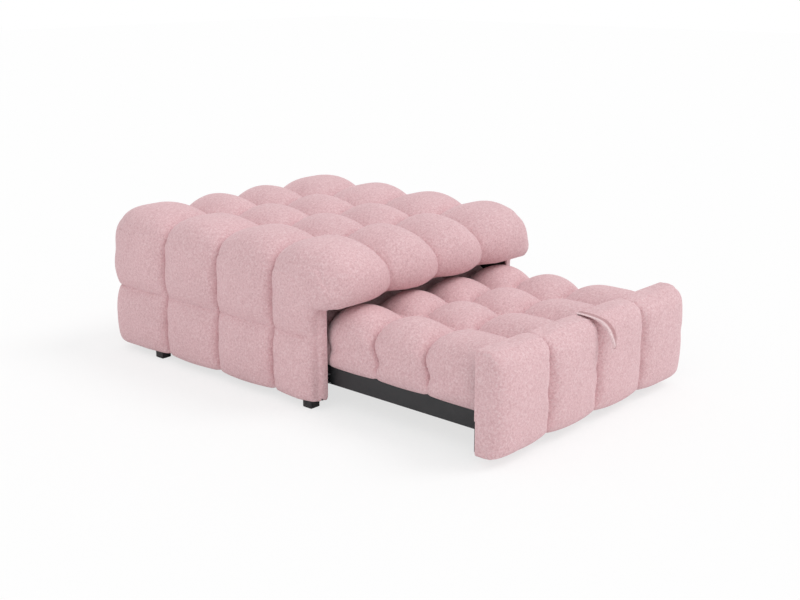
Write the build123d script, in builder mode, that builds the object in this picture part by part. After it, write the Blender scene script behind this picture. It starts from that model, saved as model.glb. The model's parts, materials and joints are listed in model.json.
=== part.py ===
from build123d import *
import os

os.makedirs("parts", exist_ok=True)

# All sizes are in millimetres. The front faces -Y, +Z is up and the floor is at Z 0.
# Heights build up from the floor, and depths are measured back from the wall fronts.
# The bed section stands pulled out, as it does in use.

# Block: the tufted seat with its side walls and back
block_width = 950
wall_cover = 20
board_thickness = 18
foot_height = 31.5
cover_gap = 0.3
overrun = 5

# Seat stack over the bed bay
bay_headroom = 7.5
lining_thickness = 1.5
seat_rail_height = 27
seat_rail_depth = 40
batten_width = 24
spring_wire = 3.5
spring_count = 7
spring_swing = 26
spring_bends = 14
clip_wall = 1.5
clip_width = 16
clip_length = 12
felt_thickness = 2.5
cushion_thickness = 97.5
seat_crown = 54
column_seam = 223

# Rounded nose that overhangs the front
nose_reach = 103
nose_seam_draw = 42
nose_tip_height = 38
nose_drop = 26
nose_root = 6
nose_lip = 66
nose_crest_depth = 52
nose_side = 45

# Tufted walls
side_seam_height = 228.5
side_crown = 28
side_seam_draw = 11
shoulder_drop = 16
corner_wrap = 14

# Bed section
bed_travel = 577
closed_gap = 8
rail_lift = 75
rail_height = 58
rail_width = 22
rail_wall = 2.5
runner_space = 19
rail_tail = 5
tube_side = 25
tube_wall = 1.5
slat_thickness = 9
slat_width = 60
slat_count = 9
slat_end_gap = 1.5
mattress_length = 776
mattress_thickness = 176
mattress_crown = 47
mattress_seam = 218
mattress_rows = 4
mattress_side_gap = 5
mattress_end_gap = 4
mattress_side_crown = 9
mattress_hang = 20
mattress_hem_gap = 1

# Front panel
panel_lift = 24
board_inset = 14
panel_board_thickness = 12
panel_lip = 3
panel_lip_inset = 2
panel_pad_depth = 50
panel_crown = 29
panel_seam = 237
panel_edge = 26
panel_rear_edge = 3
panel_notch = 9
nose_clearance = 3.5

# Pull strap
strap_width = 24
strap_thickness = 4
strap_sink = 5
strap_stand = 46
strap_drop = 92
strap_screw_spacing = 12

# Runners, rollers and stops
runner_height = 28
runner_depth = 16
runner_wall = 2
runner_axis_height = 95.5
runner_start = 3
runner_tail = 60
runner_screw_count = 3
roller_clearance = 0.2
roller_width = 8
roller_gap = 5.5
roller_end_gap = 0.3
axle_radius = 4
axle_head_radius = 6.5
axle_head_height = 1.2
axle_inset = 17
bore_clearance = 0.05
stop_length = 12
stop_gap = 0.4
bay_spare = 150

# Casters under the front of the bed section
caster_radius = 25
caster_width = 18
caster_gap = 1.5
caster_inset = 115.5
caster_setback = 60
caster_tread = 3
fork_wall = 2.5
fork_length = 38
fork_eye = 9
caster_bolt_spacing = 15

# Feet, brackets and screws
foot_side = 35
foot_inset = 23
foot_front = 58
foot_rear = 779
foot_chamfer = 2
foot_recess = 6
screw_radius = 2.5
screw_head_radius = 5
screw_head_height = 1.4
screw_bite = 12
slat_screw_bite = 6
screw_gap = 0.15
bracket_leg = 40
bracket_height = 60
bracket_wall = 2.5
bracket_low = 70
bracket_high = 262
panel_bracket_height = 36

# Shares that place the rows of tufts along the seat and shape the puffs
seat_row_shares = (0.171, 0.435, 0.704)
spring_bend_share = 0.125
screw_step_share = 0.25
bolt_bite_share = 0.25
saddle_share = 0.35
station_shares = (0, 0.16, 0.5, 0.84, 1)
puff_shares = (0, 0.7, 1, 0.7, 0)
level_shares = (0, 0, 0, 0, 0)
first_puff_shares = (0.4, 0.8, 1, 0.7, 0)
last_puff_shares = (0, 0.7, 1, 0.8, 0.5)
shoulder_shares = (0, 0, 0, 0.4, 1)
rear_shares = (0, 0, 0, 0.4, 0.6)
edge_puff_share = 0.5
lip_bend_share = 0.7
lip_rise_share = 0.3
arc_share = 0.7
strap_arc_share = 0.78
side_seam_share = 0.3
lower_crown_share = 0.85
upper_crest_share = 0.6
shoulder_bend_share = 0.75
shoulder_rise_share = 0.625
mattress_belly_share = 0.35
mattress_edge_share = 0.72
nose_end_shares = (1, 0.9, 0.6)
panel_station_shares = (0, 0.04, 0.16, 0.5, 0.84, 1)
panel_end_shares = (0.15, 0.5, 0.75, 1, 0.7, 0)
panel_round_shares = (1, 0.3, 0, 0, 0, 0)
panel_round_depth_share = 0.2
panel_top_share = 0.4
panel_front_share = 0.9
mattress_seam_hang_share = 0.6

# Places across the block
half_width = block_width / 2
board_outer = half_width - wall_cover
board_inner = board_outer - board_thickness
board_middle = board_outer - board_thickness / 2
rail_outer = board_inner - runner_space
rail_web_inner = rail_outer - rail_wall
rail_inner = rail_outer - rail_width
rail_middle = (rail_web_inner + rail_inner) / 2
caster_centre = rail_web_inner - caster_inset
cover_inner = board_outer + cover_gap
sides = ((-1, "left"), (1, "right"))

# Heights
rail_top = rail_lift + rail_height
ledge_top = rail_top - slat_thickness
ledge_base = ledge_top - rail_wall
tube_base = rail_lift + rail_wall
mattress_base = rail_top + cover_gap
mattress_crest = rail_top + mattress_thickness
lining_base = mattress_crest + bay_headroom
seat_rail_base = lining_base + lining_thickness
seat_rail_top = seat_rail_base + seat_rail_height
clip_top = seat_rail_top + spring_wire + clip_wall
felt_top = clip_top + felt_thickness
cushion_base = felt_top + cover_gap
tuft_height = felt_top + cushion_thickness
saddle = seat_crown * saddle_share
nose_low = cushion_base - nose_drop
nose_tip = cushion_base + nose_tip_height
cover_base = foot_height + cover_gap
panel_top = nose_low - nose_clearance
panel_board_top = panel_top - board_inset
panel_board_base = panel_lift + board_inset
rim_top = panel_top - panel_notch - panel_rear_edge
rim_base = panel_lift + panel_notch + panel_rear_edge

# Depths. The wall fronts are placed so that the whole part is centred on the origin.
bed_reach = bed_travel + closed_gap
pad_rear = -bed_reach - panel_board_thickness - cover_gap
strap_front = pad_rear - panel_pad_depth - strap_stand
board_front = closed_gap
mattress_front = -bed_reach + mattress_end_gap
mattress_rear = mattress_front + mattress_length
rail_rear = mattress_rear + rail_tail
roller_depth = rail_rear - axle_inset
roller_radius = runner_height / 2 - runner_wall - roller_clearance
open_stop = roller_depth - roller_radius - stop_gap - stop_length / 2
shut_stop = roller_depth + bed_travel + roller_radius + stop_gap + stop_length / 2
back_inner = shut_stop + stop_length / 2 + bay_spare
back_outer = back_inner + board_thickness
block_depth = back_outer + wall_cover
back_reach = block_depth + side_crown
wall_front = -(strap_front + back_reach) / 2
runner_end = back_inner - runner_tail
row_seams = [block_depth * share for share in seat_row_shares]


def depth(distance):
    return wall_front + distance


def across(distance):
    return Plane.XZ.offset(-depth(distance))


def between(start, end, share):
    return start + (end - start) * share


def save(piece, name):
    piece.part.label = name
    export_step(piece.part, "parts/" + name + ".step")


def bar(x0, x1, y0, y1, z0, z1):
    with BuildPart() as piece:
        with Locations((between(x0, x1, 0.5), depth(between(y0, y1, 0.5)), between(z0, z1, 0.5))):
            Box(abs(x1 - x0), y1 - y0, z1 - z0)
    return piece


def facing(x, distance, z, direction):
    side_ways = (0, 1, 0) if direction[0] else (1, 0, 0)
    return Plane(origin=(x, depth(distance), z), x_dir=side_ways, z_dir=direction)


def screws(places, length):
    with BuildPart() as piece:
        with Locations(*places):
            Cylinder(screw_radius, length, align=(Align.CENTER, Align.CENTER, Align.MAX))
            Cylinder(screw_head_radius, screw_head_height, align=(Align.CENTER, Align.CENTER, Align.MIN))
    return piece


def drilled(piece, places, reach, radius=screw_radius + screw_gap):
    with BuildPart() as result:
        add(piece.part)
        with Locations(*places):
            Cylinder(radius, reach * 2, mode=Mode.SUBTRACT)
    return result


# Where the screws go: each place is on the surface under a screw's head
foot_spots = [(side, distance) for side, name in sides for distance in (foot_front, foot_rear)]
foot_screw_places = [facing(side * board_middle, distance, foot_recess, (0, 0, -1))
                     for side, distance in foot_spots]
bracket_spots = [(side, height) for side, name in sides for height in (bracket_low, bracket_high)]
bracket_side_places = []
bracket_back_places = []
for side, height in bracket_spots:
    for step in (-1, 1):
        screw_height = height + step * bracket_height * screw_step_share
        bracket_side_places.append(facing(side * (board_inner - bracket_wall),
                                          back_inner - bracket_leg / 2, screw_height, (-side, 0, 0)))
        bracket_back_places.append(facing(side * (board_inner - bracket_leg / 2),
                                          back_inner - bracket_wall, screw_height, (0, -1, 0)))
runner_step = (runner_end - runner_start) / runner_screw_count
runner_screw_places = [facing(side * (board_inner - runner_wall), runner_start + runner_step * (index + 0.5),
                              runner_axis_height, (-side, 0, 0))
                       for side, name in sides for index in range(runner_screw_count)]

# Side frames, back frame and the rails that carry the seat
for side, name in sides:
    frame = bar(side * board_inner, side * board_outer, board_front, back_outer, foot_height, felt_top)
    own_places = [place for place in foot_screw_places + bracket_side_places + runner_screw_places
                  if place.origin.X * side > 0]
    reach = foot_height - foot_recess + screw_bite + screw_gap
    save(drilled(frame, own_places, reach), name + "_side_frame")

back_frame = bar(-board_inner, board_inner, back_inner, back_outer, foot_height, felt_top)
save(drilled(back_frame, bracket_back_places, bracket_wall + screw_bite), "back_frame")
save(bar(-board_inner, board_inner, board_front + lining_thickness, board_front + seat_rail_depth,
         seat_rail_base, seat_rail_top), "front_seat_rail")
save(bar(-board_inner, board_inner, back_inner - seat_rail_depth, back_inner,
         seat_rail_base, seat_rail_top), "rear_seat_rail")
for side, name in sides:
    save(bar(side * (board_inner - batten_width), side * board_inner, board_front + seat_rail_depth,
             back_inner - seat_rail_depth, seat_rail_base, seat_rail_top), name + "_seat_batten")

# Zigzag springs, run front to back on the rails and held by clips
spring_front = board_front + seat_rail_depth / 2
spring_rear = back_inner - seat_rail_depth / 2
spring_gap = board_inner * 2 / spring_count
spring_columns = [-board_inner + spring_gap * (index + 0.5) for index in range(spring_count)]
bend_step = (spring_rear - spring_front - clip_length * 2) / spring_bends
with BuildPart() as seat_springs:
    with BuildSketch(Plane.XY.offset(seat_rail_top)) as spring_face:
        for x in spring_columns:
            bends = [(x, depth(spring_front - clip_length / 2)), (x, depth(spring_front + clip_length))]
            for index in range(spring_bends):
                swing = spring_swing if index % 2 else -spring_swing
                bends.append((x + swing, depth(spring_front + clip_length + bend_step * (index + 0.5))))
            bends += [(x, depth(spring_rear - clip_length)), (x, depth(spring_rear + clip_length / 2))]
            with BuildLine():
                FilletPolyline(*bends, radius=bend_step * spring_bend_share)
            trace(line_width=spring_wire)
    extrude(amount=spring_wire)
save(seat_springs, "seat_springs")

with BuildPart() as spring_clips:
    with BuildSketch(across(spring_front - clip_length / 2)):
        with Locations(*[(x, seat_rail_top) for x in spring_columns]):
            Rectangle(clip_width, spring_wire + clip_wall, align=(Align.CENTER, Align.MIN))
            Rectangle(spring_wire + screw_gap * 2, spring_wire, align=(Align.CENTER, Align.MIN),
                      mode=Mode.SUBTRACT)
    extrude(amount=-clip_length)
    with BuildSketch(across(spring_rear + clip_length / 2)):
        with Locations(*[(x, seat_rail_top) for x in spring_columns]):
            Rectangle(clip_width, spring_wire + clip_wall, align=(Align.CENTER, Align.MIN))
            Rectangle(spring_wire + screw_gap * 2, spring_wire, align=(Align.CENTER, Align.MIN),
                      mode=Mode.SUBTRACT)
    extrude(amount=clip_length)
save(spring_clips, "spring_clips")

save(bar(-board_inner, board_inner, board_front, back_inner, clip_top, felt_top), "seat_felt")

# Dark lining over the bay, turned up over the front rail
with BuildPart() as bay_lining:
    with BuildSketch(Plane.YZ.offset(-board_inner)):
        with BuildLine():
            Polyline((depth(board_front), lining_base), (depth(back_inner), lining_base),
                     (depth(back_inner), seat_rail_base),
                     (depth(board_front + lining_thickness), seat_rail_base),
                     (depth(board_front + lining_thickness), clip_top),
                     (depth(board_front), clip_top), close=True)
        make_face()
    extrude(amount=board_inner * 2)
save(bay_lining, "bay_lining")


# Seat cushion: a section across each column of puffs, from the back over the rows to the nose
def seat_section(x, crown_share, drop_share=0):
    drop = shoulder_drop * drop_share
    seam_z = tuft_height + saddle * crown_share - drop
    crest_z = tuft_height + saddle + (seat_crown - saddle) * crown_share - drop
    draw = nose_seam_draw * (1 - crown_share)
    tip = (draw - nose_reach, nose_tip)
    low = (draw / 2 - nose_lip, nose_low)
    crest = (nose_crest_depth, crest_z)
    points = [(distance, seam_z) for distance in row_seams]
    end = (back_outer, crest_z - shoulder_drop)
    with BuildSketch(Plane.YZ.offset(x)) as section:
        with BuildLine():
            Polyline((depth(end[0]), end[1]), (depth(back_outer), cushion_base),
                     (depth(0), cushion_base), (depth(-nose_root), low[1]), (depth(low[0]), low[1]))
            ThreePointArc((depth(low[0]), low[1]),
                          (depth(between(low[0], tip[0], lip_bend_share)),
                           between(low[1], tip[1], lip_rise_share)),
                          (depth(tip[0]), tip[1]))
            ThreePointArc((depth(tip[0]), tip[1]),
                          (depth(between(tip[0], crest[0], 1 - arc_share)),
                           between(tip[1], crest[1], arc_share)),
                          (depth(crest[0]), crest[1]))
            ThreePointArc((depth(crest[0]), crest[1]),
                          (depth(between(crest[0], points[0][0], 0.5)),
                           between(crest[1], seam_z, 1 - arc_share)),
                          (depth(points[0][0]), seam_z))
            for here, there in zip(points, points[1:]):
                ThreePointArc((depth(here[0]), here[1]),
                              (depth(between(here[0], there[0], 0.5)), crest_z),
                              (depth(there[0]), there[1]))
            ThreePointArc((depth(points[-1][0]), seam_z),
                          (depth(between(points[-1][0], end[0], 0.5)), crest_z),
                          (depth(end[0]), end[1]))
        make_face()
    return section.sketch


# The nose's side: the front of the same section, drawn in towards its end
def nose_end_section(x, size_share):
    crest_z = tuft_height + saddle + (seat_crown - saddle) * edge_puff_share - shoulder_drop
    middle = between(cushion_base, crest_z, 0.5)
    top = between(middle, crest_z, size_share)
    tip_y = (nose_seam_draw * (1 - edge_puff_share) - nose_reach) * size_share
    low_y = (nose_seam_draw * (1 - edge_puff_share) / 2 - nose_lip) * size_share
    low_z = between(middle, nose_low, size_share)
    base = between(middle, cushion_base, size_share)
    tip_z = between(middle, nose_tip, size_share)
    with BuildSketch(Plane.YZ.offset(x)) as section:
        with BuildLine():
            Polyline((depth(0), top), (depth(0), base), (depth(-nose_root), low_z), (depth(low_y), low_z))
            ThreePointArc((depth(low_y), low_z),
                          (depth(between(low_y, tip_y, lip_bend_share)),
                           between(low_z, tip_z, lip_rise_share)), (depth(tip_y), tip_z))
            ThreePointArc((depth(tip_y), tip_z),
                          (depth(between(tip_y, 0, 1 - arc_share)), between(tip_z, top, arc_share)),
                          (depth(0), top))
        make_face()
    return section.sketch


seat_columns = [(-column_seam, 0, puff_shares, level_shares),
                (0, column_seam, puff_shares, level_shares),
                (column_seam, board_outer, last_puff_shares, shoulder_shares),
                (-column_seam, -board_outer, last_puff_shares, shoulder_shares)]
with BuildPart() as seat_cushion:
    for start, end, crowns, drops in seat_columns:
        loft([seat_section(between(start, end, station), crown, drop)
              for station, crown, drop in zip(station_shares, crowns, drops)])
    for side, name in sides:
        loft([nose_end_section(side * (board_outer + nose_side * index / 2), size)
              for index, size in enumerate(nose_end_shares)])
save(seat_cushion, "seat_cushion")


# Wall pads: two tiers of puffs on a flat inner face, drawn in at the seams and rounded over the top
def side_shoulder(puff_share, drop_share):
    seam_end = tuft_height + saddle * edge_puff_share
    crest_end = tuft_height + saddle + (seat_crown - saddle) * edge_puff_share
    return between(seam_end, crest_end, puff_share) - shoulder_drop * (1 + drop_share)


def back_shoulder(puff_share, drop_share):
    return tuft_height + saddle + (seat_crown - saddle) * puff_share - shoulder_drop * (1 + drop_share)


def wall_section(plane, inward, seam_plane, puff_share, shoulder, outward=1):
    crest = seam_plane + side_crown * puff_share
    crest_z = between(side_seam_height, shoulder, upper_crest_share)
    lower_crest = seam_plane + side_crown * lower_crown_share * puff_share
    seam = seam_plane - side_seam_draw * (1 - puff_share) + side_crown * side_seam_share * puff_share
    hem = seam_plane - wall_cover * side_seam_share
    with BuildSketch(plane) as section:
        with BuildLine():
            Polyline((outward * hem, cover_base), (outward * inward, cover_base),
                     (outward * inward, shoulder))
            ThreePointArc((outward * inward, shoulder),
                          (outward * between(inward, crest, shoulder_bend_share),
                           between(crest_z, shoulder, shoulder_rise_share)),
                          (outward * crest, crest_z))
            ThreePointArc((outward * crest, crest_z),
                          (outward * between(seam, crest, shoulder_bend_share),
                           between(side_seam_height, crest_z, 0.5)),
                          (outward * seam, side_seam_height))
            ThreePointArc((outward * seam, side_seam_height),
                          (outward * lower_crest, between(cover_base, side_seam_height, 0.5)),
                          (outward * hem, cover_base))
        make_face()
    return section.sketch


wall_rows = [(0, row_seams[0], first_puff_shares, level_shares),
             (row_seams[0], row_seams[1], puff_shares, level_shares),
             (row_seams[1], row_seams[2], puff_shares, level_shares),
             (row_seams[2], back_outer + corner_wrap, puff_shares, rear_shares)]
for side, name in sides:
    with BuildPart() as side_pad:
        for start, end, puffs, drops in wall_rows:
            loft([wall_section(across(between(start, end, station)), cover_inner, half_width, puff,
                               side_shoulder(puff, drop), side)
                  for station, puff, drop in zip(station_shares, puffs, drops)])
        with Locations((side * between(board_inner, cover_inner + cover_gap, 0.5),
                        depth((board_front - cover_gap) / 2), between(cover_base, felt_top, 0.5))):
            Box(cover_inner + cover_gap - board_inner, board_front - cover_gap, felt_top - cover_base)
    save(side_pad, name + "_side_pad")

with BuildPart() as back_pad:
    for start, end, puffs, drops in seat_columns:
        loft([wall_section(Plane.YZ.offset(between(start, end, station)), depth(back_outer + cover_gap),
                           depth(block_depth), puff, back_shoulder(puff, drop))
              for station, puff, drop in zip(station_shares, puffs, drops)])
save(back_pad, "back_pad")

# Feet
for side, distance in foot_spots:
    with BuildPart() as foot:
        with Locations((side * (half_width - foot_inset), depth(distance), foot_height / 2)):
            Box(foot_side, foot_side, foot_height)
        chamfer(foot.edges().group_by(Axis.Z)[0], foot_chamfer)
        with Locations((side * board_middle, depth(distance), 0)):
            Cylinder(screw_radius + screw_gap, foot_height * 2 + overrun, mode=Mode.SUBTRACT)
            Cylinder(screw_head_radius + screw_gap, foot_recess * 2, mode=Mode.SUBTRACT)
    end_name = "front" if distance == foot_front else "rear"
    side_name = "left" if side < 0 else "right"
    save(foot, end_name + "_" + side_name + "_foot")
save(screws(foot_screw_places, foot_height - foot_recess + screw_bite), "foot_screws")

# Corner brackets between the side and back frames
with BuildPart() as corner_brackets:
    for side, height in bracket_spots:
        corner = (side * board_inner, depth(back_inner))
        with BuildSketch(Plane.XY.offset(height - bracket_height / 2)):
            with BuildLine():
                Polyline(corner, (corner[0] - side * bracket_leg, corner[1]),
                         (corner[0] - side * bracket_leg, corner[1] - bracket_wall),
                         (corner[0] - side * bracket_wall, corner[1] - bracket_wall),
                         (corner[0] - side * bracket_wall, corner[1] - bracket_leg),
                         (corner[0], corner[1] - bracket_leg), close=True)
            make_face()
        extrude(amount=bracket_height)
    with Locations(*bracket_side_places, *bracket_back_places):
        Cylinder(screw_radius + screw_gap, bracket_wall * 2 + overrun, mode=Mode.SUBTRACT)
save(corner_brackets, "corner_brackets")
save(screws(bracket_side_places + bracket_back_places, bracket_wall + screw_bite), "bracket_screws")

# Runners: channels on the side frames that the rear rollers run in
for side, name in sides:
    face = side * board_inner
    tip = side * (board_inner - runner_depth)
    web = side * (board_inner - runner_wall)
    low = runner_axis_height - runner_height / 2
    high = runner_axis_height + runner_height / 2
    with BuildPart() as runner:
        with BuildSketch(across(runner_start)):
            with BuildLine():
                Polyline((face, low), (tip, low), (tip, low + runner_wall), (web, low + runner_wall),
                         (web, high - runner_wall), (tip, high - runner_wall), (tip, high),
                         (face, high), close=True)
            make_face()
        extrude(amount=runner_start - runner_end)
        with Locations(*[place for place in runner_screw_places if place.origin.X * side > 0]):
            Cylinder(screw_radius + screw_gap, runner_wall * 2 + overrun, mode=Mode.SUBTRACT)
    save(runner, name + "_runner")
save(screws(runner_screw_places, runner_wall + screw_bite), "runner_screws")

# Rubber stops in the runners, at both ends of the rollers' travel
stop_depth = runner_depth - runner_wall
with BuildPart() as runner_stops:
    with Locations(*[(side * (board_inner - runner_wall - stop_depth / 2), depth(distance),
                      runner_axis_height) for side, name in sides for distance in (open_stop, shut_stop)]):
        Box(stop_depth, stop_length, runner_height - runner_wall * 2)
save(runner_stops, "runner_stops")

# Rails of the bed section, with a ledge for the slats and a flange for the cross tubes
panel_bracket_middle = between(tube_base, ledge_base, 0.5)
panel_bolt_places = [facing(side * (rail_web_inner - bracket_leg / 2), -bed_reach + bracket_wall,
                            panel_bracket_middle + step * panel_bracket_height * screw_step_share, (0, 1, 0))
                     for side, name in sides for step in (-1, 1)]
slat_step = (mattress_length - mattress_end_gap * 2 - slat_width) / (slat_count - 1)
slat_depths = [mattress_front + mattress_end_gap + slat_width / 2 + slat_step * index
               for index in range(slat_count)]
slat_screw_places = [facing(side * rail_middle, distance, ledge_base, (0, 0, -1))
                     for side, name in sides for distance in slat_depths]
for side, name in sides:
    with BuildPart() as rail:
        with BuildSketch(across(-bed_reach)):
            with BuildLine():
                Polyline((side * rail_outer, rail_lift), (side * rail_inner, rail_lift),
                         (side * rail_inner, tube_base), (side * rail_web_inner, tube_base),
                         (side * rail_web_inner, ledge_base), (side * rail_inner, ledge_base),
                         (side * rail_inner, ledge_top), (side * rail_web_inner, ledge_top),
                         (side * rail_web_inner, rail_top), (side * rail_outer, rail_top), close=True)
            make_face()
        extrude(amount=-bed_reach - rail_rear)
        with Locations(facing(side * rail_outer, roller_depth, runner_axis_height, (side, 0, 0))):
            Cylinder(axle_radius + bore_clearance, rail_wall * 2 + overrun, mode=Mode.SUBTRACT)
        with Locations(*[place for place in slat_screw_places if place.origin.X * side > 0]):
            Cylinder(screw_radius + screw_gap, rail_wall * 2 + screw_gap, mode=Mode.SUBTRACT)
    save(rail, name + "_bed_rail")

# Square cross tubes between the rails
tube_front = -bed_reach + caster_setback
tube_rear = roller_depth - axle_head_radius - tube_side
caster_bolt_places = [facing(side * caster_centre, tube_front + step * caster_bolt_spacing / 2,
                             tube_base - fork_wall, (0, 0, -1)) for side, name in sides for step in (-1, 1)]
tube_spots = (("front_cross_tube", tube_front), ("middle_cross_tube", between(tube_front, tube_rear, 0.5)),
              ("rear_cross_tube", tube_rear))
for name, distance in tube_spots:
    with BuildPart() as tube:
        with BuildSketch(Plane.YZ.offset(-rail_web_inner)):
            with Locations((depth(distance), tube_base + tube_side / 2)):
                Rectangle(tube_side, tube_side)
                Rectangle(tube_side - tube_wall * 2, tube_side - tube_wall * 2, mode=Mode.SUBTRACT)
        extrude(amount=rail_web_inner * 2)
        if distance == tube_front:
            with Locations(*caster_bolt_places):
                Cylinder(screw_radius + screw_gap, fork_wall * 2 + tube_wall * 2 + screw_gap,
                         mode=Mode.SUBTRACT)
    save(tube, name)

# Slats on the ledges
with BuildPart() as slats:
    with Locations(*[(0, depth(distance), ledge_top + slat_thickness / 2) for distance in slat_depths]):
        Box((rail_web_inner - slat_end_gap) * 2, slat_width, slat_thickness)
    with Locations(*slat_screw_places):
        Cylinder(screw_radius + screw_gap, (rail_wall + slat_screw_bite + screw_gap) * 2, mode=Mode.SUBTRACT)
save(slats, "slats")
save(screws(slat_screw_places, rail_wall + slat_screw_bite), "slat_screws")


# Mattress: a section across each row of puffs, hanging a little over the rails
def mattress_section(distance, crown_share):
    rise = mattress_crown * saddle_share
    tuft = mattress_crest - mattress_crown
    seam_z = tuft + rise * crown_share
    crest_z = tuft + rise + (mattress_crown - rise) * crown_share
    belly = board_inner - mattress_side_gap - mattress_side_crown * (1 - crown_share)
    edge = belly - mattress_side_crown * edge_puff_share
    edge_z = between(mattress_base, crest_z, mattress_edge_share)
    hem = rail_outer + mattress_hem_gap
    hem_z = mattress_base - mattress_hang * between(mattress_seam_hang_share, 1, crown_share)
    seams = (edge, mattress_seam, 0, -mattress_seam, -edge)
    seam_heights = (edge_z, seam_z, seam_z, seam_z, edge_z)
    with BuildSketch(across(distance)) as section:
        with BuildLine():
            Polyline((-hem, hem_z), (-hem, mattress_base), (hem, mattress_base), (hem, hem_z))
            for side in (-1, 1):
                ThreePointArc((side * hem, hem_z),
                              (side * belly, between(hem_z, crest_z, mattress_belly_share)),
                              (side * edge, edge_z))
            for index in range(len(seams) - 1):
                ThreePointArc((seams[index], seam_heights[index]),
                              (between(seams[index], seams[index + 1], 0.5), crest_z),
                              (seams[index + 1], seam_heights[index + 1]))
        make_face()
    return section.sketch


row_length = mattress_length / mattress_rows
with BuildPart() as mattress:
    for index in range(mattress_rows):
        crowns = puff_shares
        if index == 0:
            crowns = first_puff_shares
        if index == mattress_rows - 1:
            crowns = last_puff_shares
        start = mattress_front + row_length * index
        loft([mattress_section(start + row_length * station, crown)
              for station, crown in zip(station_shares, crowns)])
save(mattress, "mattress")

# Front panel: a dark backing board, rebated for the rim of a channelled pad
anchor_base = panel_board_top
strap_base = panel_top - strap_sink
lip_front = -bed_reach - panel_lip
lip_half = half_width - panel_lip_inset
strap_screw_places = [facing(step * strap_screw_spacing / 2, -bed_reach - panel_board_thickness / 2,
                             strap_base + strap_thickness, (0, 0, 1)) for step in (-1, 1)]
board_half = half_width - board_inset
with BuildPart() as panel_board:
    add(bar(-board_half, board_half, -bed_reach - panel_board_thickness, -bed_reach,
            panel_board_base, panel_board_top).part)
    add(bar(-lip_half, lip_half, lip_front, -bed_reach,
            rim_base + panel_lip_inset, rim_top - panel_lip_inset).part)
bolt_holes = drilled(panel_board, panel_bolt_places, screw_bite + screw_gap)
strap_screw_length = strap_thickness + strap_base - anchor_base + screw_bite
save(drilled(bolt_holes, strap_screw_places, strap_screw_length + screw_gap), "panel_board")


def panel_section(x, puff_share, round_share=0):
    inset = panel_rear_edge * round_share
    pad_depth = (panel_pad_depth + panel_crown * puff_share) * (1 - round_share * panel_round_depth_share)
    notch = panel_notch * (1 - puff_share) * (1 - round_share)
    low = panel_lift + notch + inset
    high = panel_top - notch - inset
    rear = depth(pad_rear)
    shoulder = rear - pad_depth * panel_front_share
    with BuildSketch(Plane.YZ.offset(x)) as section:
        with BuildLine():
            Line((rear, low + panel_rear_edge), (rear, high - panel_rear_edge))
            ThreePointArc((rear, high - panel_rear_edge), (rear - pad_depth * panel_top_share, high),
                          (shoulder, high - panel_edge))
            ThreePointArc((shoulder, high - panel_edge), (rear - pad_depth, between(low, high, 0.5)),
                          (shoulder, low + panel_edge))
            ThreePointArc((shoulder, low + panel_edge), (rear - pad_depth * panel_top_share, low),
                          (rear, low + panel_rear_edge))
        make_face()
    return section.sketch


panel_columns = [(-half_width, -panel_seam, panel_end_shares, panel_round_shares),
                 (half_width, panel_seam, panel_end_shares, panel_round_shares),
                 (-panel_seam, 0, puff_shares, level_shares),
                 (0, panel_seam, puff_shares, level_shares)]
with BuildPart() as panel_pad:
    for start, end, puffs, rounds in panel_columns:
        stations = panel_station_shares if len(puffs) > len(station_shares) else station_shares
        loft([panel_section(between(start, end, station), puff, rounding)
              for station, puff, rounding in zip(stations, puffs, rounds)])
    add(bar(-half_width, half_width, pad_rear, lip_front, rim_base, rim_top).part)
    add(bar(-board_half - cover_gap, board_half + cover_gap, pad_rear, lip_front,
            panel_board_base - cover_gap, panel_board_top + cover_gap).part, mode=Mode.SUBTRACT)
    add(bar(-strap_width / 2 - cover_gap, strap_width / 2 + cover_gap, pad_rear, lip_front,
            panel_board_top, rim_top).part, mode=Mode.SUBTRACT)
save(panel_pad, "panel_pad")

# Angle brackets that bolt the board to the rails
with BuildPart() as panel_brackets:
    for side, name in sides:
        corner = (side * rail_web_inner, depth(-bed_reach))
        with BuildSketch(Plane.XY.offset(panel_bracket_middle - panel_bracket_height / 2)):
            with BuildLine():
                Polyline(corner, (corner[0] - side * bracket_leg, corner[1]),
                         (corner[0] - side * bracket_leg, corner[1] + bracket_wall),
                         (corner[0] - side * bracket_wall, corner[1] + bracket_wall),
                         (corner[0] - side * bracket_wall, corner[1] + bracket_leg),
                         (corner[0], corner[1] + bracket_leg), close=True)
            make_face()
        extrude(amount=panel_bracket_height)
    with Locations(*panel_bolt_places):
        Cylinder(screw_radius + screw_gap, bracket_wall * 2 + overrun, mode=Mode.SUBTRACT)
save(panel_brackets, "panel_brackets")
save(screws(panel_bolt_places, screw_bite), "panel_bolts")

# Pull strap over the top of the panel, on a packer that brings it level with the pad
strap_middle = strap_base + strap_thickness / 2
strap_turn = pad_rear - cover_gap
strap_hang = strap_front + strap_thickness / 2
with BuildPart() as pull_strap:
    with BuildLine() as strap_path:
        Line((0, depth(-bed_reach), strap_middle), (0, depth(strap_turn), strap_middle))
        ThreePointArc((0, depth(strap_turn), strap_middle),
                      (0, depth(between(strap_hang, strap_turn, 1 - strap_arc_share)),
                       between(strap_middle - strap_drop, strap_middle, strap_arc_share)),
                      (0, depth(strap_hang), strap_middle - strap_drop))
    with BuildSketch(across(-bed_reach)):
        with Locations((0, strap_middle)):
            Rectangle(strap_width, strap_thickness)
    sweep()
    with Locations(*strap_screw_places):
        Cylinder(screw_radius + screw_gap, strap_thickness * 2 + overrun, mode=Mode.SUBTRACT)
save(pull_strap, "pull_strap")
anchor = bar(-strap_width / 2, strap_width / 2, -bed_reach - panel_board_thickness, lip_front,
             anchor_base, strap_base)
save(drilled(anchor, strap_screw_places, strap_screw_length), "strap_packer")
save(screws(strap_screw_places, strap_screw_length), "strap_screws")

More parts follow.
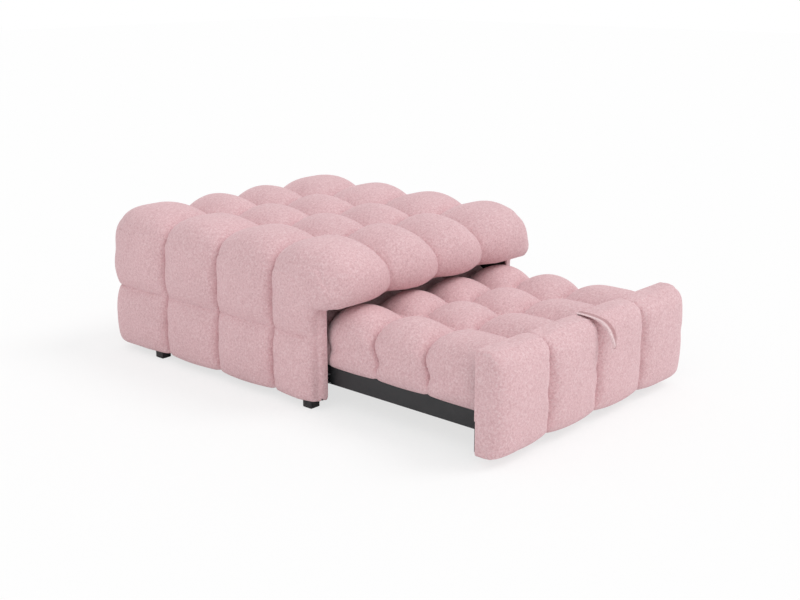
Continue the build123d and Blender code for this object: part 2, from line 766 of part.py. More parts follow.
# Rear rollers on axles riveted through the rails
for side, name in sides:
    place = facing(side * (rail_outer + roller_gap), roller_depth, runner_axis_height, (side, 0, 0))
    with BuildPart() as roller:
        with Locations(place):
            Cylinder(roller_radius, roller_width, align=(Align.CENTER, Align.CENTER, Align.MIN))
            Cylinder(axle_radius + bore_clearance, roller_width * 2 + overrun, mode=Mode.SUBTRACT)
    save(roller, name + "_rear_roller")
with BuildPart() as roller_axles:
    for side, name in sides:
        inner = facing(side * rail_web_inner, roller_depth, runner_axis_height, (side, 0, 0))
        collar = facing(side * rail_outer, roller_depth, runner_axis_height, (side, 0, 0))
        shaft_length = rail_wall + roller_gap + roller_width + roller_end_gap
        cap = facing(side * (rail_web_inner + shaft_length), roller_depth, runner_axis_height, (side, 0, 0))
        with Locations(inner):
            Cylinder(axle_radius, shaft_length, align=(Align.CENTER, Align.CENTER, Align.MIN))
            Cylinder(axle_head_radius, axle_head_height, align=(Align.CENTER, Align.CENTER, Align.MAX))
        with Locations(collar):
            Cylinder(axle_head_radius, roller_gap - roller_end_gap,
                     align=(Align.CENTER, Align.CENTER, Align.MIN))
        with Locations(cap):
            Cylinder(axle_head_radius, axle_head_height, align=(Align.CENTER, Align.CENTER, Align.MIN))
save(roller_axles, "roller_axles")

# Casters: a fork under the front cross tube, a wheel and its axle
fork_inner = caster_width / 2 + caster_gap
fork_outer = fork_inner + fork_wall
fork_top = tube_base
for side, name in sides:
    middle = side * caster_centre
    with BuildPart() as fork:
        with BuildSketch(across(tube_front - fork_length / 2)):
            with BuildLine():
                Polyline((middle - fork_outer, caster_radius), (middle - fork_inner, caster_radius),
                         (middle - fork_inner, fork_top - fork_wall),
                         (middle + fork_inner, fork_top - fork_wall), (middle + fork_inner, caster_radius),
                         (middle + fork_outer, caster_radius), (middle + fork_outer, fork_top),
                         (middle - fork_outer, fork_top), close=True)
            make_face()
        extrude(amount=-fork_length)
        with Locations(facing(middle, tube_front, caster_radius, (1, 0, 0))):
            Cylinder(fork_eye, fork_outer * 2)
            Cylinder(fork_eye + overrun, fork_inner * 2, mode=Mode.SUBTRACT)
            Cylinder(axle_radius + bore_clearance, fork_outer * 2 + overrun, mode=Mode.SUBTRACT)
        with Locations(*caster_bolt_places):
            Cylinder(screw_radius + screw_gap, fork_wall * 2 + overrun, mode=Mode.SUBTRACT)
    save(fork, name + "_caster_fork")
    with BuildPart() as wheel:
        with Locations(facing(middle, tube_front, caster_radius, (1, 0, 0))):
            Cylinder(caster_radius, caster_width)
        fillet(wheel.edges().filter_by(GeomType.CIRCLE), caster_tread)
        with Locations(facing(middle, tube_front, caster_radius, (1, 0, 0))):
            Cylinder(axle_radius + bore_clearance, caster_width + overrun, mode=Mode.SUBTRACT)
    save(wheel, name + "_caster_wheel")
with BuildPart() as caster_axles:
    for side, name in sides:
        middle = side * caster_centre
        with Locations(facing(middle, tube_front, caster_radius, (1, 0, 0))):
            Cylinder(axle_radius, fork_outer * 2)
        for end in (-1, 1):
            with Locations(facing(middle + end * fork_outer, tube_front, caster_radius, (end, 0, 0))):
                Cylinder(axle_head_radius, axle_head_height, align=(Align.CENTER, Align.CENTER, Align.MIN))
save(caster_axles, "caster_axles")
save(screws(caster_bolt_places, fork_wall + tube_wall + screw_bite * bolt_bite_share), "caster_bolts")
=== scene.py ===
import json
import math

import bpy
import numpy as np
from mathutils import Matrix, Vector


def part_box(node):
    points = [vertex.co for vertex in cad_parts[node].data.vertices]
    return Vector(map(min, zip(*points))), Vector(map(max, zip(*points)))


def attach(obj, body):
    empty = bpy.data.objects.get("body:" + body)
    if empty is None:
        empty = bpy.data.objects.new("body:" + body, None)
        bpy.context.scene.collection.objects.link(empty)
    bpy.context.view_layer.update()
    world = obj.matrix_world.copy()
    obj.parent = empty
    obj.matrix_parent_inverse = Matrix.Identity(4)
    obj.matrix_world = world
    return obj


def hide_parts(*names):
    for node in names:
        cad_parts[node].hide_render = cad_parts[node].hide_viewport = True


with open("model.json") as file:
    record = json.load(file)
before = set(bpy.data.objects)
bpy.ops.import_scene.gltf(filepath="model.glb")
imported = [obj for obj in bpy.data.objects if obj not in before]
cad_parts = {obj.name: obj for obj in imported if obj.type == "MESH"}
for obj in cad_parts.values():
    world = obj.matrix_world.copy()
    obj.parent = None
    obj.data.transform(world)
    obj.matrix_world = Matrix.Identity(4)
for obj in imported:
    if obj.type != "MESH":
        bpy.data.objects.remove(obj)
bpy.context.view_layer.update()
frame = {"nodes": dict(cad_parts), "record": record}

nodes = frame["nodes"]

# Places read from the frame, in metres
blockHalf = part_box("panel_pad")[1].x  # half the width between the side seams
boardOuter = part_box("right_side_frame")[1].x
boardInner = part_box("right_side_frame")[0].x
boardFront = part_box("right_side_frame")[0].y
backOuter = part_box("back_frame")[1].y
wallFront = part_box("right_side_pad")[0].y
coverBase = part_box("right_side_pad")[0].z
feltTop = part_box("seat_felt")[1].z

fitGap = 0.0003  # between a cover and the wood that it lies on
hair = 0.004  # within this of a plane, a point counts as on it
print("frame loaded:", len(nodes), "nodes")


# Small tools for modelling

def selectNothing():
    if bpy.context.object and bpy.context.object.mode != "OBJECT":
        bpy.ops.object.mode_set(mode="OBJECT")
    bpy.ops.object.select_all(action="DESELECT")


def useOnly(piece):
    selectNothing()
    piece.select_set(True)
    bpy.context.view_layer.objects.active = piece


def addBox(name, low, high):
    selectNothing()
    low, high = Vector(low), Vector(high)
    bpy.ops.mesh.primitive_cube_add(size=1, location=(low + high) / 2, scale=high - low)
    piece = bpy.context.object
    piece.name = piece.data.name = name
    bpy.ops.object.transform_apply(location=True, rotation=True, scale=True)
    return piece


def applyModifier(piece, kind, **values):
    useOnly(piece)
    modifier = piece.modifiers.new(kind.lower(), kind)
    for name, value in values.items():
        setattr(modifier, name, value)
    bpy.ops.object.modifier_apply(modifier=modifier.name)


def cutAway(piece, cutter):
    applyModifier(piece, "BOOLEAN", operation="DIFFERENCE", object=cutter, solver="EXACT")
    bpy.data.objects.remove(cutter)


def readPoints(piece, what="co"):
    values = np.zeros(len(piece.data.vertices) * 3)
    piece.data.vertices.foreach_get(what, values)
    return values.reshape(-1, 3)


def writePoints(piece, points):
    piece.data.vertices.foreach_set("co", np.ascontiguousarray(points).ravel())
    piece.data.update()


def readEdges(piece):
    ends = np.zeros(len(piece.data.edges) * 2, int)
    piece.data.edges.foreach_get("vertices", ends)
    return ends.reshape(-1, 2)


def smoothStep(start, end, value):
    share = np.clip((value - start) / (end - start), 0, 1)
    return share * share * (3 - 2 * share)


def spreadOut(values, edges, passes):
    # evens out values over neighbouring points
    counts = np.bincount(edges.ravel(), minlength=len(values)).astype(float)
    for _ in range(passes):
        total = np.zeros_like(values)
        np.add.at(total, edges[:, 0], values[edges[:, 1]])
        np.add.at(total, edges[:, 1], values[edges[:, 0]])
        values = values * 0.4 + total / counts.reshape(-1, *[1] * (values.ndim - 1)) * 0.6
    return values


def wander(points, length, seed):
    # a slow, seeded drift between -1 and 1
    waves = 5
    dice = np.random.default_rng(seed)
    total = np.zeros(len(points))
    for _ in range(waves):
        way = dice.normal(size=3)
        way /= np.linalg.norm(way)
        wave = length * dice.uniform(0.7, 1.5)
        total += np.sin(points @ way * math.tau / wave + dice.uniform(0, math.tau))
    return total / waves


# Upholstery: every padded piece starts as a box, is remeshed, rounded, puffed up between
# its seams, inflated by the cloth simulation and then gathered along the seams

seamGrid = {
    "margin": 0.05,
    "samples": 4000,
    "extra": 0.022,  # how much finer the grid is beside a seam, and how far out
    "width": 0.010,
    "catch": 0.3,  # share of a grid step within which a point belongs to the seam
}


def seamSpacing(low, high, seams, voxel):
    # maps a direction so that seams fall on grid lines, which lie closer together beside them
    real = np.linspace(low - seamGrid["margin"], high + seamGrid["margin"], seamGrid["samples"])
    bent = real.copy()
    for seam in seams:
        bent += seamGrid["extra"] * np.tanh((real - seam) / seamGrid["width"])
    marks = np.interp(sorted(seams), real, bent) if len(seams) else np.zeros(0)
    wanted = (np.round(marks / voxel - 0.5) + 0.5) * voxel
    knots = np.concatenate([[bent[0]], marks, [bent[-1]]])
    moved = np.concatenate([[bent[0]], wanted, [bent[-1]]])
    return real, np.interp(bent, knots, moved)


def remeshOnSeams(piece, voxel, seams):
    points = readPoints(piece)
    spacing = [seamSpacing(points[:, axis].min(), points[:, axis].max(), seams[axis], voxel)
               for axis in range(3)]
    for axis in range(3):
        points[:, axis] = np.interp(points[:, axis], *spacing[axis])
    writePoints(piece, points)
    applyModifier(piece, "REMESH", mode="VOXEL", voxel_size=voxel, adaptivity=0)
    points = readPoints(piece)
    onSeam = []
    for axis in range(3):
        real, bent = spacing[axis]
        loops = np.zeros(len(points), int)
        for number, seam in enumerate(seams[axis]):
            near = np.abs(points[:, axis] - np.interp(seam, real, bent)) < voxel * seamGrid["catch"]
            points[near, axis] = np.interp(seam, real, bent)
            loops[near] = number + 1
        onSeam.append(loops)
        points[:, axis] = np.interp(points[:, axis], bent, real)
    writePoints(piece, points)
    return onSeam


def roundOff(points, low, high, radius):
    # rounds a box's edges: radius gives x, front, back, bottom and top, as numbers or one per point
    full = {name: np.broadcast_to(np.asarray(value, float), (len(points),))
            for name, value in radius.items()}
    coreLow = np.stack([low[0] + full["x"], low[1] + full["front"], low[2] + full["bottom"]], 1)
    coreHigh = np.stack([high[0] - full["x"], high[1] - full["back"], high[2] - full["top"]], 1)
    core = np.clip(points, coreLow, coreHigh)
    reach = points - core
    size = np.stack([full["x"],
                     np.where(reach[:, 1] < 0, full["front"], full["back"]),
                     np.where(reach[:, 2] < 0, full["bottom"], full["top"])], 1)
    share = np.divide(reach, size, out=np.zeros_like(reach), where=size > 1e-6)
    flat = np.abs(share).max(1)
    turned = np.linalg.norm(share, axis=1)
    scale = np.divide(flat, turned, out=np.ones_like(flat), where=turned > 1e-9)
    return core + reach * scale[:, None]


def nearest(values, seams):
    return np.min([np.abs(values - seam) for seam in seams], axis=0)


def puffShare(values, seams, reach, flank, steep):
    # 0 on a seam: a round, steep flank beside it and a gentle crown up to 1
    distance = nearest(values, seams)
    near = np.clip(distance / flank, 0, 1)
    wide = np.clip(distance / reach, 0, 1)
    return steep * np.sqrt(1 - (1 - near) ** 2) + (1 - steep) * (1 - (1 - wide) ** 2)


def softShare(values, seams, reach, power=0.6):
    # the shallower valley of a seam that isn't pulled tight
    share = np.clip(nearest(values, seams) / reach, 0, 1)
    return (1 - (1 - share) ** 2) ** power


def puffHeight(first, second, saddle):
    # full between the seams, at the saddle's share along a seam, and nothing where two seams cross
    return (1 - 2 * saddle) * first * second + saddle * (first + second)


def smoothNormals(piece, passes):
    normals = spreadOut(readPoints(piece, "normal"), readEdges(piece), passes)
    return normals / np.maximum(np.linalg.norm(normals, axis=1, keepdims=True), 1e-9)


clothPlan = {
    "frames": 20,
    "quality": 4,
    "mass": 0.3,
    "tension": 12,
    "shear": 6,
    "bending": 0.4,
    "pressure": 3.0,
    "growth": 0.04,  # how much the fabric would like to grow
    "smoothing": 4,  # passes that iron out small creases
}


def inflate(piece, held, cap):
    # the cloth simulation: held points stay, and no point moves further than the cap
    plan = clothPlan
    useOnly(piece)
    start = readPoints(piece)
    group = piece.vertex_groups.new(name="held")
    group.add([int(index) for index in np.nonzero(held)[0]], 1.0, "REPLACE")
    modifier = piece.modifiers.new("cloth", "CLOTH")
    settings = modifier.settings
    settings.quality = plan["quality"]
    settings.mass = plan["mass"]
    settings.tension_stiffness = plan["tension"]
    settings.compression_stiffness = plan["tension"]
    settings.shear_stiffness = plan["shear"]
    settings.bending_stiffness = plan["bending"]
    settings.use_pressure = True
    settings.uniform_pressure_force = plan["pressure"]
    settings.shrink_min = -plan["growth"]
    settings.vertex_group_mass = "held"
    settings.pin_stiffness = 1
    settings.effector_weights.gravity = 0
    modifier.collision_settings.use_collision = False
    scene = bpy.context.scene
    modifier.point_cache.frame_start = 1
    modifier.point_cache.frame_end = plan["frames"]
    for number in range(1, plan["frames"] + 1):
        scene.frame_set(number)
    bpy.ops.object.modifier_apply(modifier=modifier.name)
    scene.frame_set(1)
    moved = readPoints(piece) - start
    length = np.linalg.norm(moved, axis=1)
    print("  cloth moved", piece.name, "by up to", round(float(length.max()) * 1000, 1), "mm")
    allowed = cap * np.tanh(length / cap)
    moved *= np.divide(allowed, length, out=np.zeros_like(length), where=length > 1e-9)[:, None]
    moved = spreadOut(moved, readEdges(piece), plan["smoothing"]) * (1 - held)[:, None]
    writePoints(piece, start + moved)
    piece.vertex_groups.clear()


def creaseSeams(piece, onSeam, faces):
    # keeps the sewn lines sharp through the subdivision
    edges = readEdges(piece)
    sharp = np.zeros(len(edges), np.float32)
    for loops, kept in zip(onSeam, faces):
        ends = loops[edges]
        sharp[(ends[:, 0] == ends[:, 1]) & (ends[:, 0] > 0) & kept[edges].all(1)] = 1
    layer = piece.data.attributes.new("crease_edge", "FLOAT", "EDGE")
    layer.data.foreach_set("value", sharp)


def subdivideOnce(piece):
    applyModifier(piece, "SUBSURF", levels=1, render_levels=1)
    layer = piece.data.attributes.get("crease_edge")
    if layer:
        piece.data.attributes.remove(layer)


gathers = {
    "length": 0.0145,  # from one little pleat to the next
    "depth": 0.0013,
    "start": 0.0065,  # where a pleat is deepest, away from its seam
}


def gatherSeam(points, normals, distance, along, strength, seed):
    # little pleats that run out from a seam and fade within a few centimetres
    plan = gathers
    phase = along * math.tau / plan["length"] + 2.2 * wander(points, 0.09, seed)
    uneven = 0.55 + 0.45 * wander(points, 0.05, seed + 1)
    near = np.abs(distance) / plan["start"]
    height = plan["depth"] * strength * uneven * np.sin(phase) * near * np.exp(1 - near)
    return points + normals * height[:, None]


def smoothShade(piece):
    useOnly(piece)
    bpy.ops.object.shade_smooth()


# Block cover: one skin over the seat, the nose, the two sides and the back
blockCover = {
    "columns": (-0.223, 0.0, 0.223),  # seams from front to back
    "rows": (0.188, 0.445, 0.704),  # seams across, behind the wall fronts
    "tier": 0.2285,  # height of the seam round the sides and the back
    "hem": 0.010,
    "top": 0.420,  # of the hull, before it is puffed
    "wall": 0.020,  # how far the hull stands behind the back frame
    "noseFront": 0.041,  # how far it stands ahead of the wall fronts
    "noseBase": 0.3315,
    "noseRound": 0.130,  # radii of the nose: its front, underside, top, lower front and ends
    "noseUnder": 0.027,
    "noseTop": 0.046,
    "noseLow": 0.038,
    "noseSide": 0.076,
    "noseEnds": (0.05, 0.7),  # how wide its ends are, and how much flatter below
    "shoulder": 0.062,  # radii along the sides on top, up the corners, and over the back
    "corner": 0.040,
    "rear": 0.130,
    "wallRound": 0.012,  # radius of a wall's front edge, and how much rounder it is low down
    "wallSoft": 0.026,
    "columnReach": 0.124,  # half a puff's width between two seams
    "rowReach": 0.128,
    "tierReach": 0.095,
    "topCrown": 0.084,
    "sideCrown": 0.0450,
    "noseCrown": 0.050,
    "lowCrown": 0.005,
    "uneven": 0.04,  # by how much one puff is fuller than another
    "sideDraw": 0.0185,  # how far the side and back seams pull in
    "saddle": 0.30,  # share of the crown that is left along a seam
    "sideSaddle": 0.06,
    "columnSteep": 0.05,  # share of the height reached on the flank beside a seam
    "rowSteep": 0.30,
    "sideSteep": 0.68,
    "flank": 0.026,  # how wide that flank is
    "sideFlank": 0.022,
    "seamTilt": 0.008,  # how much further back the cross seams run low down
    "tiltHeight": 0.14,
    "voxel": 0.0105,
    "spare": 0.1,
    "hemDrop": 0.006,  # how much lower the hem hangs between two seams
    "underside": 0.3275,  # lowest part of the nose, over the closed panel
    "underEnds": 0.3185,  # and at its two ends, beside the closed panel
    "panelEnds": (0.474, 0.484),  # half widths between which that changes
    "cap": 0.005,
}


def overhangAt(y):
    # 0 over the walls and 1 under the nose
    return smoothStep(0, 0.03, wallFront - y)


def seamLean(z, plan):
    # the cross seams' way back, at a height
    return plan["seamTilt"] * np.clip((plan["top"] - z) / plan["tiltHeight"], 0, 1)


def shapeBlockHull(points, plan, front, back):
    # rounds the nose, the shoulders and the walls' corners of the plain hull
    y, z = points[:, 1], points[:, 2]
    overhang = overhangAt(y)
    endWidth, flatter = plan["noseEnds"]
    ends = 1 - flatter * smoothStep(blockHalf - endWidth, blockHalf, np.abs(points[:, 0]))
    inNose = z > plan["noseBase"] - hair
    upper = smoothStep(plan["noseBase"] - 0.05, plan["top"], z)
    side = plan["corner"] + (plan["shoulder"] - plan["corner"]) * upper
    low, high = (-blockHalf, front, plan["noseBase"]), (blockHalf, back, plan["top"])
    ahead = smoothStep(wallFront + 0.16, wallFront + 0.04, y)
    rear = plan["corner"] + (plan["rear"] - plan["corner"]) * upper
    noseSide = side + (plan["noseSide"] - side) * smoothStep(wallFront + 0.10, wallFront, y)
    tip = plan["noseBase"] + plan["noseUnder"]
    blunt = smoothStep(tip - 0.01, tip + 0.03, z)
    noseShape = roundOff(points, low, high, {
        "x": noseSide,
        "front": plan["noseLow"] + (plan["noseRound"] - plan["noseLow"]) * blunt,
        "back": rear,
        "bottom": np.where(inNose, plan["noseUnder"] * overhang, 0) * ends,
        "top": plan["shoulder"] + (plan["noseTop"] - plan["shoulder"]) * ahead})
    under = smoothStep(plan["noseBase"] - 0.005, plan["noseBase"] - 0.07, z)
    wallShape = roundOff(points, (-blockHalf, wallFront, coverBase), (blockHalf, back, plan["top"] + 1), {
        "x": side, "front": plan["wallRound"] + plan["wallSoft"] * under,
        "back": rear, "bottom": 0, "top": 0})
    share = smoothStep(plan["noseBase"] - 0.03, plan["noseBase"] + 0.03, z)
    share = np.maximum(share, inNose * overhang)
    return noseShape * share[:, None] + wallShape * (1 - share)[:, None]


def makeBlockCover():
    plan = blockCover
    rows = [wallFront + row for row in plan["rows"]]
    back = backOuter + plan["wall"]
    front = wallFront - plan["noseFront"]
    piece = addBox("block_cover", (-blockHalf, front, coverBase), (blockHalf, back, plan["top"]))
    spare = plan["spare"]
    cutAway(piece, addBox("under_nose", (-blockHalf - spare, front - spare, coverBase - spare),
                          (blockHalf + spare, wallFront, plan["noseBase"])))
    onSeam = remeshOnSeams(piece, plan["voxel"], (plan["columns"], rows, (plan["tier"],)))
    points = readPoints(piece)
    walls = points[:, 2] < plan["noseBase"] - hair
    overhang = overhangAt(points[:, 1])
    points = shapeBlockHull(points, plan, front, back)
    lean = seamLean(points[:, 2], plan)
    window = smoothStep(wallFront + 0.02, rows[0], points[:, 1])
    window *= 1 - smoothStep(rows[2], back - 0.06, points[:, 1])
    points[:, 1] += lean * window
    writePoints(piece, points)

    normals = smoothNormals(piece, 4)
    weight = normals ** 2
    x, y, z = points.T
    flatRows = y - lean * window
    flank, sideFlank = plan["flank"], plan["sideFlank"]
    column = puffShare(x, plan["columns"], plan["columnReach"], flank, plan["columnSteep"])
    row = puffShare(flatRows, rows, plan["rowReach"], flank, plan["rowSteep"])
    sideRow = puffShare(flatRows, rows, plan["rowReach"], sideFlank, plan["sideSteep"])
    backColumn = puffShare(x, plan["columns"], plan["columnReach"], sideFlank, plan["sideSteep"])
    tier = 0.5 + 0.5 * softShare(z, (plan["tier"], plan["hem"]), plan["tierReach"])
    # flatter towards the front edges of the walls
    sideRow *= np.where(walls, 0.55 + 0.45 * smoothStep(wallFront - 0.01, wallFront + 0.08, y), 1)
    tall = 1 + plan["uneven"] * wander(points, 0.6, 3)
    top = plan["topCrown"] * puffHeight(column, row, plan["saddle"]) * tall
    low = plan["lowCrown"] * puffHeight(column, 1, plan["saddle"])
    sideCrown, sideSaddle = plan["sideCrown"] * tall, plan["sideSaddle"]
    side = sideCrown * puffHeight(tier, sideRow, sideSaddle) - plan["sideDraw"]
    behind = sideCrown * puffHeight(tier, backColumn, sideSaddle) - plan["sideDraw"]
    nose = plan["noseCrown"] * puffHeight(column, 1, plan["saddle"]) * tall
    facingY = np.where(y > rows[0], behind, nose)
    facingZ = np.where(normals[:, 2] > 0, top, low * overhang)
    height = weight[:, 0] * side + weight[:, 1] * facingY + weight[:, 2] * facingZ
    wallFace = (normals[:, 1] < -0.5) & walls
    height[wallFace] = 0
    height[(normals[:, 2] < -0.5) & walls] = 0
    height = spreadOut(height, readEdges(piece), 1)
    points += normals * height[:, None]
    atBack = smoothStep(backOuter - 0.10, backOuter - 0.03, y)
    hanging = sideRow * (1 - atBack) + backColumn * atBack
    points[:, 2] -= plan["hemDrop"] * hanging * smoothStep(0.09, 0.03, z)
    writePoints(piece, points)

    faces = (np.abs(normals[:, 0]) < 0.9, np.abs(normals[:, 1]) < 0.8,
             (np.abs(normals[:, 2]) < 0.6) & (y > wallFront + 0.03))
    sewn = (onSeam[0] > 0) & faces[0] | (onSeam[1] > 0) & faces[1] | (onSeam[2] > 0) & faces[2]
    underneath = (normals[:, 2] < -0.3) | wallFace
    inflate(piece, np.where(sewn | underneath, 1.0, 0.0), plan["cap"])
    creaseSeams(piece, onSeam, faces)
    subdivideOnce(piece)
    gatherBlockSeams(piece, rows)
    clearPanel(piece)

    # room for the frame inside, and for the bed between the walls
    gap = fitGap
    inside = addBox("inside", (-boardOuter - gap, boardFront - gap, coverBase - spare),
                    (boardOuter + gap, backOuter + gap, feltTop + gap))
    bay = addBox("bay", (-boardInner, wallFront - 0.001, coverBase - spare),
                 (boardInner, boardFront, feltTop + gap))
    cutAway(piece, inside)
    cutAway(piece, bay)
    smoothShade(piece)
    return piece


def clearPanel(piece):
    # lifts the nose's underside where the closed panel comes to lie
    plan = blockCover
    points = readPoints(piece)
    besidePanel = smoothStep(*plan["panelEnds"], np.abs(points[:, 0]))
    lowest = plan["underside"] + (plan["underEnds"] - plan["underside"]) * besidePanel
    beyondWall = (points[:, 1] < wallFront - hair) & (points[:, 2] > plan["underEnds"] - 0.02)
    points[beyondWall, 2] = np.maximum(points[beyondWall, 2], lowest[beyondWall])
    writePoints(piece, points)


def gatherBlockSeams(piece, rows):
    plan = blockCover
    points, normals = readPoints(piece), readPoints(piece, "normal")
    x, y, z = points.T
    lean = seamLean(z, plan)
    flat = 1 - smoothStep(0.6, 0.9, np.abs(normals[:, 0]))
    facing = 1 - smoothStep(0.6, 0.9, np.abs(normals[:, 1]))
    upright = 1 - smoothStep(0.4, 0.7, np.abs(normals[:, 2]))
    upright *= smoothStep(wallFront + 0.02, wallFront + 0.06, y)
    alongColumn = y + z * np.where(y > rows[1], -1, 1)
    points = gatherSeam(points, normals, nearest(x, plan["columns"]), alongColumn, flat, 11)
    points = gatherSeam(points, normals, nearest(y - lean, rows), x - np.sign(x) * z, facing, 21)
    points = gatherSeam(points, normals, z - plan["tier"], y - np.sign(x) * x, upright * 0.6, 31)
    writePoints(piece, points)


cover = makeBlockCover()
print("block cover made:", len(cover.data.polygons), "faces")


# Mattress of the bed section, which hangs a little way down beside the rails
mattressPlan = {
    "columns": (-0.218, 0.0, 0.218),
    "rowCount": 4,
    "low": 0.4215,  # half widths at the seams, beside the rails and above them
    "high": 0.398,
    "widest": 0.4255,  # half width at the puffs' middles
    "top": 0.236,
    "lip": 0.009,  # how far it hangs below the rails' tops
    "lift": 0.009,  # how much higher the lower edge is at a seam
    "rounding": {"front": 0.03, "back": 0.04, "bottom": 0.030, "top": 0.049},
    "sideRound": 0.010,  # low down on the sides, and how much rounder above
    "sideSoft": 0.050,
    "crown": 0.0725,
    "uneven": 0.03,
    "saddle": 0.20,
    "reach": 0.107,
    "flank": 0.026,
    "sideFlank": 0.018,
    "railGap": 0.0006,
    "shift": 0.013,  # how far back the cross seams lie from even quarters, low down
    "lean": 0.026,  # and how much further back on top
    "columnSteep": 0.05,
    "rowSteep": 0.35,
    "sideSteep": 0.70,
    "voxel": 0.009,
    "cap": 0.005,
}


def makeMattress():
    plan = mattressPlan
    low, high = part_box("mattress")
    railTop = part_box("left_bed_rail")[1].z
    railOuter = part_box("right_bed_rail")[1].x
    length = (high.y - low.y) / plan["rowCount"]
    rows = [low.y + length * number + plan["shift"] for number in range(1, plan["rowCount"])]
    lowCorner = (-plan["low"], low.y, railTop - plan["lip"])
    highCorner = (plan["low"], high.y, plan["top"])
    piece = addBox("mattress_cover", lowCorner, highCorner)
    onSeam = remeshOnSeams(piece, plan["voxel"], (plan["columns"], rows, ()))
    points = readPoints(piece)
    above = smoothStep(railTop, railTop + 0.05, points[:, 2])
    sides = plan["sideRound"] + plan["sideSoft"] * above
    points = roundOff(points, lowCorner, highCorner, {"x": sides, **plan["rounding"]})
    half = plan["low"] + (plan["high"] - plan["low"]) * above
    points[:, 0] *= half / plan["low"]
    between = smoothStep(low.y, rows[0], points[:, 1])
    between *= 1 - smoothStep(rows[-1], high.y, points[:, 1])
    lean = plan["lean"] * smoothStep(railTop + 0.05, plan["top"] - 0.01, points[:, 2]) * between
    points[:, 1] += lean
    writePoints(piece, points)
    normals = smoothNormals(piece, 3)
    weight = normals ** 2
    x, y, z = points.T
    column = puffShare(x, plan["columns"], plan["reach"], plan["flank"], plan["columnSteep"])
    row = puffShare(y - lean, rows, length / 2, plan["flank"], plan["rowSteep"])
    sideRow = puffShare(y - lean, rows, length / 2, plan["sideFlank"], plan["sideSteep"])
    tall = 1 + plan["uneven"] * wander(points, 0.5, 8)
    top = plan["crown"] * puffHeight(column, row, plan["saddle"]) * tall
    side = (plan["widest"] - half) * sideRow
    height = weight[:, 0] * side + np.where(normals[:, 2] > 0, weight[:, 2] * top, 0)
    height = spreadOut(height, readEdges(piece), 1)
    points += normals * height[:, None]
    hanging = 1 - smoothStep(railTop - 0.02, railTop + 0.03, z)
    points[:, 2] += plan["lift"] * (1 - sideRow) * hanging
    writePoints(piece, points)

    faces = (normals[:, 2] > 0.3, (np.abs(normals[:, 1]) < 0.8) & (normals[:, 2] > -0.7))
    sewn = (onSeam[0] > 0) & faces[0] | (onSeam[1] > 0) & faces[1]
    beside = (normals[:, 2] < -0.3) | (np.abs(normals[:, 1]) > 0.7) | (z < railTop + 0.02)
    inflate(piece, np.where(sewn | beside, 1.0, 0.0), plan["cap"])
    creaseSeams(piece, onSeam, faces)
    subdivideOnce(piece)

    points, normals = readPoints(piece), readPoints(piece, "normal")
    x, y, z = points.T
    upward = smoothStep(0.1, 0.4, normals[:, 2])
    facing = 1 - smoothStep(0.6, 0.9, np.abs(normals[:, 1]))
    facing *= smoothStep(railTop + 0.01, railTop + 0.04, z)
    points = gatherSeam(points, normals, nearest(x, plan["columns"]), y, upward, 41)
    lean = plan["lean"] * smoothStep(railTop + 0.05, plan["top"] - 0.01, z)
    points = gatherSeam(points, normals, nearest(y - lean, rows), x - np.sign(x) * z, facing, 51)
    writePoints(piece, points)
    side = railOuter + plan["railGap"]
    cutAway(piece, addBox("rail_room", (-side, low.y - 1, 0),
                          (side, high.y + 1, railTop + plan["railGap"])))
    smoothShade(piece)
    return piece


mattress = makeMattress()
print("mattress made:", len(mattress.data.polygons), "faces")


# Front panel's pad, with a rim that laps over the board's edges
panelPlan = {
    "columns": (-0.237, 0.0, 0.237),
    "low": 0.0225,
    "top": 0.3228,
    "depth": 0.050,  # ahead of the board, without the crown
    "crown": 0.031,
    "notch": 0.009,  # how far the top and bottom dip at a channel
    "reach": 0.118,
    "flank": 0.024,
    "steep": 0.6,
    "topRound": 0.046,
    "hemRound": 0.026,
    "sideRound": 0.009,
    "backRound": 0.002,
    "boardInset": 0.014,
    "spare": 0.016,  # made longer at the back, then cut off flat
    "skirt": 0.125,  # from here up the cover also laps over the board's rear lip
    "voxel": 0.0075,
    "cap": 0.005,
}


